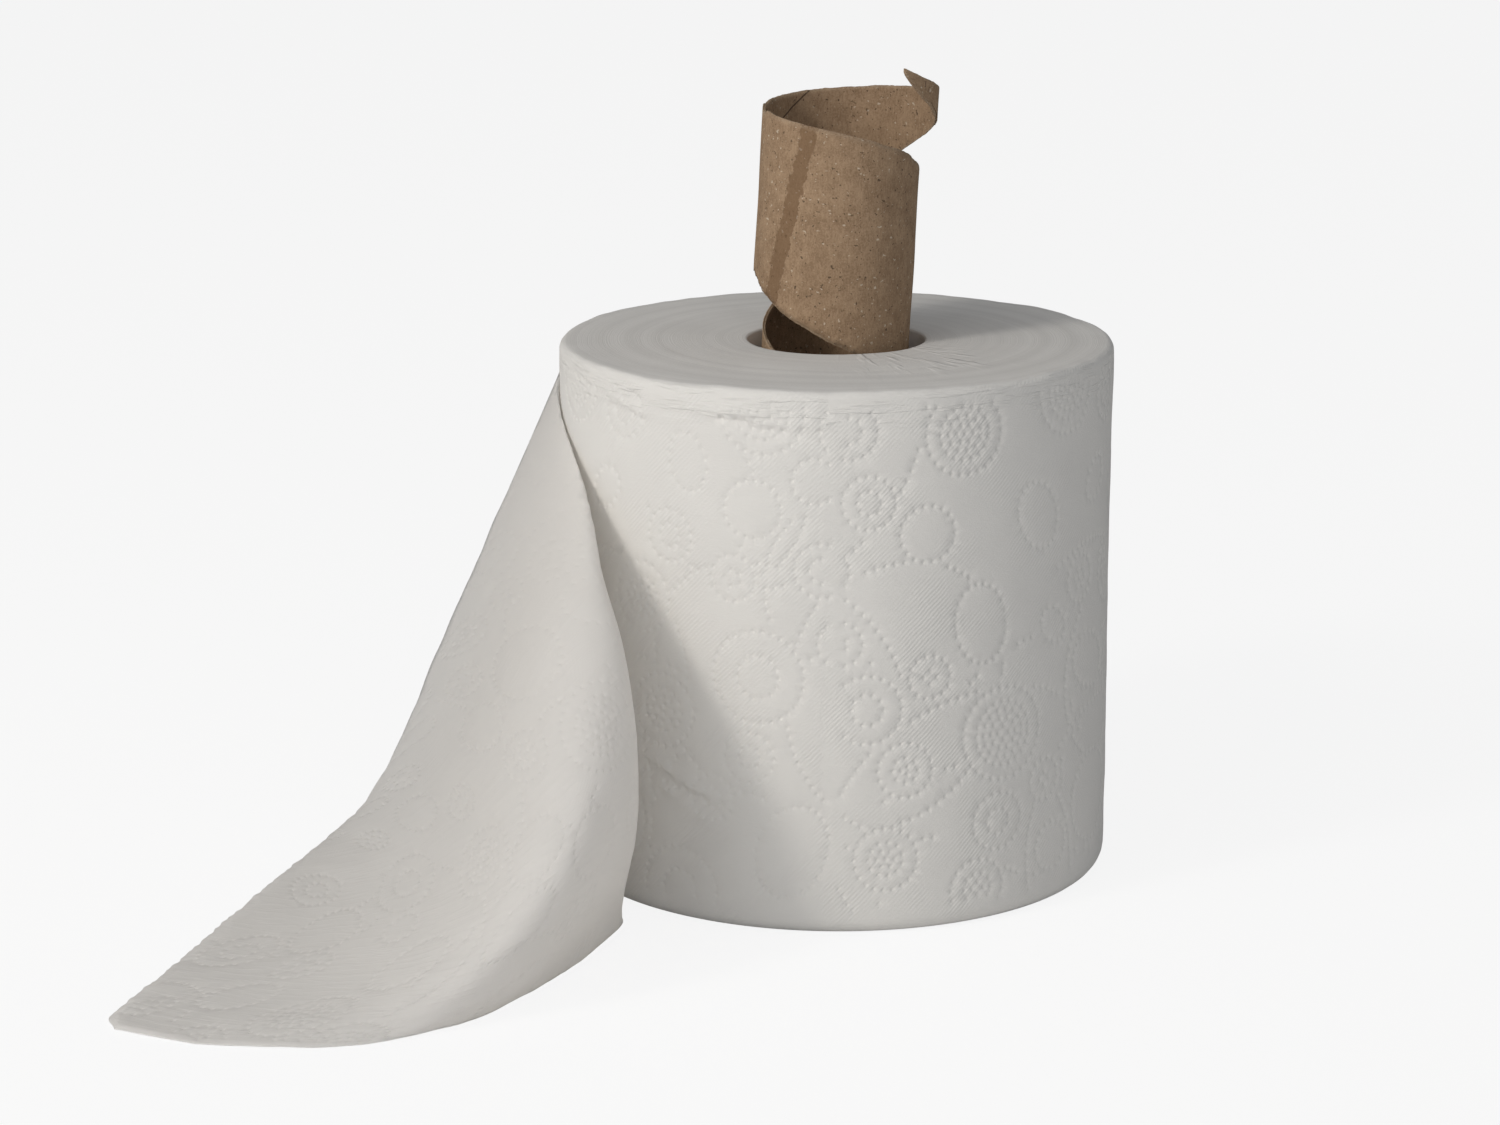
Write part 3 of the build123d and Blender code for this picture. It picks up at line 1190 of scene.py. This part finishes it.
    def build(self, web: bpy.types.Material, rests_on: bpy.types.Object) -> bpy.types.Object:
        """Builds, drapes and dresses the loose end.

        Args:
            web: Material of the web.
            rests_on: The roll that it leaves; not used.

        Returns:
            The finished piece.
        """
        grid, lengths = self.surface()

        def inside(points: np.ndarray, margin: float) -> np.ndarray:
            """Which points lie within the flat web, clear of its tear."""
            reach = self.end_reach(points[:, 1] / self.roll_height, lengths) - self.tear_room
            return within(points, reach, self.roll_height, margin)

        embossing = Embossing(
            self.emboss_length,
            self.roll_height,
            seed=self.emboss_seed,
            dot_depth=self.dot_depth,
            pillow=self.pillow,
            spacing=self.spacing,
        )
        flat = embossing.flat_mesh(self.outline(lengths), inside)
        levels = flat.points[:, 1] / self.roll_height
        shares = flat.points[:, 0] / np.interp(levels, np.linspace(0, 1, self.levels), lengths)
        along = np.gradient(grid, axis=1)
        across = np.gradient(grid, axis=0)
        normals = np.cross(across, along)
        normals /= np.linalg.norm(normals, axis=2, keepdims=True)
        points = self.sampled(grid, levels, shares)
        lean = self.sampled(normals, levels, shares)
        free = smooth_share(shares, *self.free_shares)
        lumps = np.stack([flat.points[:, 0], flat.points[:, 1] * 1.3, flat.points[:, 0] * 0], 1)
        waves = soft_noise(lumps, self.lump_sizes[0], 2.4) + 0.5 * soft_noise(lumps, self.lump_sizes[1], 8.8)
        shift = flat.relief * (self.held_relief + (1 - self.held_relief) * free) + self.drape * waves * free
        points = points + lean * shift[:, None]
        points[:, 2] = np.maximum(points[:, 2], self.thickness * self.floor_share)
        piece = mesh_object("loose_end_sheet", points, flat.triangles)
        set_web_uv(piece.data, flat.points)
        piece.data.materials.append(web)
        solid = piece.modifiers.new("two_plies", "SOLIDIFY")
        solid.thickness = self.thickness * self.ply_share
        solid.offset = 0
        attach(piece, "root")
        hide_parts("loose_end")
        float(lengths.mean() * self.roll_height)
        return piece


@dataclass
class TornCore:
    """Spiral core of two-ply board, raised out of the bore with its seam torn open."""

    roll_height: float
    bore_radius: float = 30.5 * MM
    wall: float = 1.0 * MM
    clearance: float = 0.3 * MM
    tightening: float = 2.9 * MM
    tightening_end: float = 1.5
    tightening_turns: float = 0.6
    rise: float = 81 * MM
    foot: float = 50 * MM
    lean: float = 3.0
    lean_depth: float = 30 * MM
    shift: float = 3.9 * MM
    shift_turns: float = 0.45
    seam_pitch: float = 75 * MM
    torn_fall: float = 35.5 * MM
    tear_power: float = 0.8
    seam_opening: float = 31 * MM
    closed_gap: float = 1.2 * MM
    seam_closing: float = 0.7
    seam_pinch: float = 13.5 * MM
    pinch_turns: float = 0.4
    top_level_turn: float = 0.415
    top_slope: float = 11.5 * MM
    top_swing: float = 82 * MM
    point_turn: float = -0.12
    point_lift: float = 12.5 * MM
    point_rise: float = 7.5 * MM
    point_rise_power: float = 1.0
    point_flare: float = 5 * MM
    flare_angle: float = 45.0
    overrun: float = 0.85
    fine_turns: float = 2.0
    fine_step: float = 0.8 * MM
    coarse_step: float = 4.0 * MM
    rows: int = 36
    fray: float = 0.55 * MM
    fray_grains: tuple[float, float] = (5.5 * MM, 1.3 * MM)
    rough_turns: tuple[float, float] = (0.52, 0.94)
    rough_width: float = 0.05
    rough_weights: tuple[float, float] = (8.0, 1.0)
    upper_fray: float = 0.6
    least_width: float = 0.6 * MM
    dent: float = 0.35 * MM
    dent_grain: float = 21 * MM
    dented_turns: float = 1.6
    torn_width: float = 1.1 * MM
    ply_step: float = 1.0 * MM
    ply_step_mean: float = 0.75
    ply_step_fray: float = 1.6
    ply_fade: float = 8 * MM
    groove_limit: float = 0.3
    foot_room: float = 2 * MM
    ply_groove: float = 0.9 * MM
    stripe_turn: tuple[float, float] = (0.689, 0.617)
    stripe_height: tuple[float, float] = (262 * MM, 205 * MM)
    stripe_width: float = 6.4 * MM
    stripe_wobble: float = 0.9 * MM
    stripe_grain: float = 4.0 * MM
    stripe_depth: float = 0.18 * MM
    stripe_edges: tuple[float, float] = (0.1, 0.85)
    stripe_radius_share: float = 0.9
    inner_seam_turn: tuple[float, float] = (0.42, 0.32)
    inner_seam_height: tuple[float, float] = (253.5 * MM, 266.5 * MM)
    inner_seam_overrun: float = 0.03
    far_off: float = 20.0
    face_share: float = 0.9

    def top(self) -> float:
        """Height of the core's top edge."""
        return self.roll_height + self.rise

    def seam(self, turn: np.ndarray) -> np.ndarray:
        """Finds the strip's lower edge after a number of turns.

        Args:
            turn: Turns from where the strip passes the right side.

        Returns:
            Its height at each turn.
        """
        torn = np.clip((turn - self.point_turn) / (1 - self.point_turn), 0, 1) ** self.tear_power
        wound = self.seam_pitch * np.maximum(0, turn - 1)
        return self.top() + self.point_lift - (self.seam_pitch + self.torn_fall) * torn - wound

    def edges(self, turn: np.ndarray) -> tuple[np.ndarray, np.ndarray]:
        """Heights of the strip's lower and upper edges after a number of turns.

        Args:
            turn: Turns from where the strip passes the right side.

        Returns:
            The lower and the upper heights.
        """
        swing = turn - self.top_level_turn
        free = self.top() - self.top_swing * np.maximum(0, swing) ** 3 - self.top_slope * swing
        free = free + self.point_rise * np.maximum(0, turn / self.point_turn) ** self.point_rise_power
        opening = np.maximum(self.closed_gap, self.seam_opening * (1 - self.seam_closing * (turn - 1)))
        opening -= self.seam_pinch * np.maximum(0, 1 - (turn - 1) / self.pinch_turns) ** 2
        return self.seam(turn), np.where(turn <= 1, free, self.seam(turn - 1) - opening)

    def radius(self, turn: np.ndarray) -> np.ndarray:
        """Finds the radius of the strip's middle surface after a number of turns.

        Args:
            turn: Turns from where the strip passes the right side.

        Returns:
            Its radius at each turn.
        """
        fitted = self.bore_radius - self.clearance - self.wall / 2
        share = smooth_share(turn, self.tightening_end, self.tightening_end + self.tightening_turns)
        flare = np.maximum(0, 1 - (turn * 360 / self.flare_angle) ** 2) ** 2
        return fitted - self.tightening * (1 - share) + self.point_flare * flare

    def turns(self) -> np.ndarray:
        """Spaces the strip's columns of points, closer together where it shows.

        Returns:
            The turns at which it has a column.
        """
        length = FULL_TURN * self.bore_radius
        wound = self.top() + self.point_lift - self.seam_pitch - self.torn_fall - self.foot
        last = 1 + self.overrun + wound / self.seam_pitch
        fine = np.arange(self.point_turn, self.fine_turns, self.fine_step / length)
        coarse = np.arange(self.fine_turns, last, self.coarse_step / length)
        found = np.concatenate([fine, coarse])
        return found[self.edges(found)[1] > self.foot + self.foot_room]

    def frayed(self, turns: np.ndarray, seed: float) -> np.ndarray:
        """Makes a torn edge ragged.

        Args:
            turns: The turns of its points.
            seed: Gives each edge a shape of its own.

        Returns:
            The offset at each turn.
        """
        line = on_line(turns * FULL_TURN * self.bore_radius)
        coarse = soft_noise(line, self.fray_grains[0], seed)
        fine = soft_noise(line, self.fray_grains[1], seed + 3.7)
        return self.fray * (0.9 * coarse + 0.6 * fine)

    def stripe(self, turns: np.ndarray, heights: np.ndarray) -> np.ndarray:
        """Marks the glue stripe on the strip's outer face.

        Args:
            turns: Turns of the strip's points.
            heights: Their heights.

        Returns:
            How far each point lies within the stripe, from 0 to 1.
        """
        share = (self.stripe_height[0] - heights) / (self.stripe_height[0] - self.stripe_height[1])
        middle = between(*self.stripe_turn, share)
        wobble = soft_noise(on_line(heights.ravel()), self.stripe_grain, 6.1).reshape(heights.shape)
        wobble *= self.stripe_wobble
        aside = (turns - middle) * FULL_TURN * self.bore_radius * self.stripe_radius_share
        edges = (self.stripe_width * share for share in self.stripe_edges)
        return 1 - smooth_share(np.abs(aside + wobble), *edges)

    def inner_seam(self, turns: np.ndarray, heights: np.ndarray, wall: np.ndarray) -> np.ndarray:
        """Marks the inner ply's own seam.

        Args:
            turns: Turns of the strip's points.
            heights: Their heights.
            wall: Their places in the wall, from -1 on the inner face to 1 on the outer.

        Returns:
            Signed distances from the seam in millimetres, far off on the other faces.
        """
        first, last = self.inner_seam_turn
        level = between(*self.inner_seam_height, (turns - first) / (last - first))
        near = (turns > last - self.inner_seam_overrun) & (turns < first + self.inner_seam_overrun)
        return np.where((wall[None] < -self.face_share) & near, (heights - level) / MM, self.far_off)

    def section(self) -> np.ndarray:
        """Closed section of the strip, ply by ply.

        Returns:
            Rows of: share of the strip's width, share of half the wall, ply step and groove.
        """
        rows = np.linspace(0, 1, self.rows)
        outer = [(share, 1.0, 1 - share, 0.0) for share in rows]
        upper = [(1.0, 0.3, 0.0, 0.0), (1.0, 0.14, 0.0, -1.0), (1.0, -0.1, 0.0, -1.0)]
        upper += [(1.0, -0.26, -0.3, 0.0)]
        inner = [(share, -1.0, -0.3 * share, 0.0) for share in rows[::-1]]
        lower = [(0.0, -0.55, 0.0, 0.0), (0.0, -0.3, 0.1, 0.0), (0.0, -0.1, 1.0, 1.0)]
        lower += [(0.0, 0.25, 1.0, 1.0), (0.0, 0.45, 1.0, 0.0)]
        return np.array(outer + upper + inner + lower)

    def build(self, board: bpy.types.Material) -> bpy.types.Object:
        """Builds and dresses the core.

        Args:
            board: Material of the board.

        Returns:
            The finished piece.
        """
        turns = self.turns()
        lower, upper = self.edges(turns)
        rough = np.ones(len(turns))
        for place, weight in zip(self.rough_turns, self.rough_weights):
            rough = rough + weight * np.exp(-(((turns - place) / self.rough_width) ** 2))
        upper = upper + self.frayed(turns, 9.4) * self.upper_fray * rough
        lower = np.minimum(lower + self.frayed(turns, 1.9) * rough, upper - self.least_width)
        lower = np.maximum(lower, self.foot)
        section = self.section()
        share, wall, step, groove = section.T
        width = (upper - lower)[:, None]
        steps = self.ply_step * (self.ply_step_mean + self.ply_step_fray * self.frayed(turns, 5.5) / MM)
        steps = steps * smooth_share(upper - lower, 0, self.ply_fade)
        heights = lower[:, None] + width * share[None] + steps[:, None] * step[None]
        heights += groove[None] * np.minimum(self.ply_groove, self.groove_limit * width)
        grid_turns = np.repeat(turns[:, None], len(section), 1)
        glue = self.stripe(grid_turns, heights) * (wall > self.face_share)[None] * (turns <= 1)[:, None]
        line = np.stack([grid_turns.ravel() * 0.17, heights.ravel(), grid_turns.ravel() * 0], 1)
        dents = soft_noise(line, self.dent_grain, 4.4).reshape(heights.shape) * self.dent
        radii = self.radius(turns)[:, None] + wall[None] * self.wall / 2
        radii = radii + dents * (turns < self.dented_turns)[:, None]
        radii -= self.stripe_depth * glue
        raised = np.maximum(0, heights - self.roll_height + self.lean_depth)
        slope = raised * math.tan(math.radians(self.lean))
        slope -= self.shift * (1 - smooth_share(turns, 1, 1 + self.shift_turns))[:, None]
        angles = FULL_TURN * grid_turns
        points = np.stack([radii * np.cos(angles) + slope, radii * np.sin(angles), heights], 2)
        ring = len(section)
        faces = []
        for column in range(len(turns) - 1):
            for row in range(ring):
                after = (row + 1) % ring
                start, end = column * ring, (column + 1) * ring
                faces.append((start + row, end + row, end + after, start + after))
        last = (len(turns) - 1) * ring
        faces.append(tuple(range(ring)))
        faces.append(tuple(last + row for row in reversed(range(ring))))
        piece = mesh_object("torn_core", points.reshape(-1, 3), faces)
        near = np.minimum(heights - lower[:, None], upper[:, None] - heights)
        between_faces = (np.abs(wall) < self.face_share)[None] * 1.0
        torn = np.maximum(1 - smooth_share(near, 0, self.torn_width), between_faces)
        set_vertex_values(piece.data, GLUE, glue.ravel())
        set_vertex_values(piece.data, TORN, torn.ravel())
        set_vertex_values(piece.data, SEAM, self.inner_seam(grid_turns, heights, wall).ravel())
        piece.data.materials.append(board)
        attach(piece, "root")
        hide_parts("core")
        return piece


@dataclass(frozen=True)
class Lamp:
    """A round lamp and where it stands."""

    name: str
    place: tuple[float, float, float]
    size: float
    power: float
    colour: tuple[float, float, float]


@dataclass
class Studio:
    """Floor, soft studio light and the camera at the photograph's place."""

    camera_place: tuple[float, float, float] = (0.0, -1.351, 0.4388)
    pitch: float = 13.91
    yaw: float = 1.26
    lens: float = 95.77
    sensor: float = 36.0
    floor_size: float = 14.0
    lamps: tuple[Lamp, ...] = (
        Lamp("key", (-1.45, -1.24, 1.3), 0.42, 12.5, (1.0, 0.955, 0.89)),
        Lamp("window", (-1.4, -1.5, 1.2), 2.0, 13.5, (1.0, 0.98, 0.95)),
        Lamp("fill", (0.25, -1.99, 0.9), 1.2, 5.0, (0.98, 0.985, 1.0)),
    )
    lamp_target: tuple[float, float, float] = (-0.02, 0.0, 0.1)
    world_colour: Colour = (0.955, 0.975, 1.0, 1)
    world_strength: float = 0.275

    def add_camera(self) -> None:
        """Adds the camera and makes it the scene's."""
        camera = bpy.data.cameras.new("camera")
        camera.lens = self.lens
        camera.sensor_width = self.sensor
        viewer = scene_object("camera", camera)
        viewer.location = self.camera_place
        viewer.rotation_euler = (math.radians(90 - self.pitch), 0, math.radians(self.yaw))
        bpy.context.scene.camera = viewer

    def add_lamp(self, lamp: Lamp) -> None:
        """Adds one lamp, turned to the object.

        Args:
            lamp: The lamp to add.
        """
        light = bpy.data.lights.new(lamp.name, "AREA")
        light.shape = "DISK"
        light.size = lamp.size
        light.energy = lamp.power
        light.color = lamp.colour
        piece = scene_object(lamp.name, light)
        piece.location = lamp.place
        aim = Vector(self.lamp_target) - Vector(lamp.place)
        piece.rotation_euler = aim.to_track_quat("-Z", "Y").to_euler()

    def add_world(self) -> None:
        """Adds even light from all round, white to the camera."""
        world = bpy.data.worlds.new("studio")
        world.use_nodes = True
        nodes = Nodes(world.node_tree)
        path = nodes.add("ShaderNodeLightPath", {}, {}, "Is Camera Ray")
        even = {"Color": self.world_colour, "Strength": self.world_strength}
        even = nodes.add("ShaderNodeBackground", {}, even)
        seen = nodes.add("ShaderNodeBackground", {}, {"Color": (1, 1, 1, 1)})
        nodes.add("ShaderNodeOutputWorld", {}, {"Surface": nodes.shader_mix(path, even, seen)})
        bpy.context.scene.world = world

    def add_floor(self, finish: bpy.types.Material) -> None:
        """Adds the floor.

        Args:
            finish: Material of the floor.
        """
        half = self.floor_size / 2
        corners = np.array([(-half, -half, 0), (half, -half, 0), (half, half, 0), (-half, half, 0)])
        floor = mesh_object("floor", corners, [(0, 1, 2, 3)])
        floor.data.materials.append(finish)

    def build(self) -> None:
        """Builds the whole studio."""
        self.add_camera()
        for lamp in self.lamps:
            self.add_lamp(lamp)
        self.add_world()
        self.add_floor(FloorFinish().material("floor_paper"))
        bpy.context.scene.view_settings.view_transform = "Standard"


def main() -> None:
    """Builds the studio and the object's pieces."""
    logging.basicConfig(level=logging.INFO)
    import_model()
    roll_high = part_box("paper_roll")[1]
    web = TissueFinish().material("tissue")
    sheet = TissueFinish(
        white=(0.978, 0.974, 0.966, 1),
        shade=(0.957, 0.951, 0.943, 1),
        hatch_weight=0.25,
        folds=0.9,
        folds_from=-10 * MM,
        through=0.61,
    )
    sheet_web = sheet.material("tissue_sheet")
    edge = TurnEdgeFinish().material("turn_edges")
    board = BoardFinish().material("core_board")
    Studio().build()
    roll = WoundRoll(radius=roll_high.x, height=roll_high.z).build(web, edge)
    loose = LooseEnd(roll_radius=roll_high.x, roll_height=roll_high.z).build(sheet_web, roll)
    core = TornCore(roll_height=roll_high.z).build(board)
    for piece in (roll, loose, core):
        LOG.info("%s: %d faces", piece.name, len(piece.data.polygons))
    bpy.context.view_layer.update()


if __name__ == "__main__":
    main()
